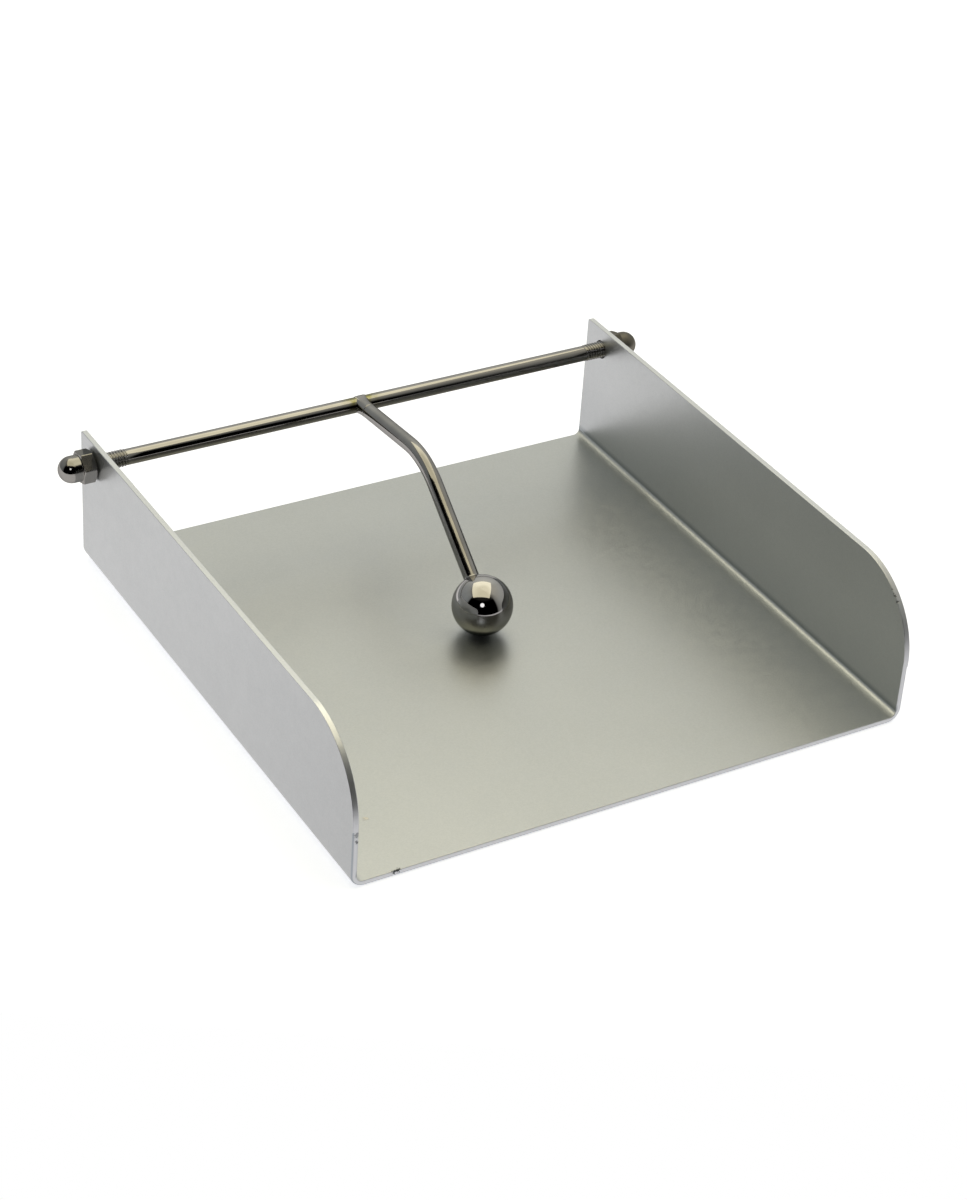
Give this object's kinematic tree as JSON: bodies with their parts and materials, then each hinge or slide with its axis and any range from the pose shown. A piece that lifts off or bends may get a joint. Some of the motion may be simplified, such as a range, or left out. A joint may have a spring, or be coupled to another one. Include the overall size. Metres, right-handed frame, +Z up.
{
  "type": "napkin holder",
  "caption": "Open tray for flat napkins, bent from sheet steel, with a pivot rod across the rear and a swinging arm whose ball weight holds the stack down.",
  "frame": {"origin": "middle of the tray's flat underside", "axes": "+X along the pivot rod to the right, +Y to the rear where the rod is, +Z up"},
  "size_m": [0.2188, 0.193, 0.049],
  "materials": {
    "tray": "silver grey powder coat, satin, with a fine metallic grain",
    "rod": "polished bright steel, threaded ends",
    "arm": "polished bright steel",
    "ball": "mirror polished solid steel ball",
    "cap_nut": "polished domed hexagon nut"
  },
  "bodies": {
    "tray": {"tray": "tray"},
    "swing_arm": {"pivot_rod": "rod", "press_arm": "arm", "ball_weight": "ball", "cap_nut_left": "cap_nut", "cap_nut_right": "cap_nut"}
  },
  "joints": [
    {"name": "arm_swing", "type": "hinge", "parent": "tray", "child": "swing_arm", "pos_m": [0, 0.087, 0.0412], "axis": [-1, 0, 0], "range_deg": [0, 218]}
  ]
}
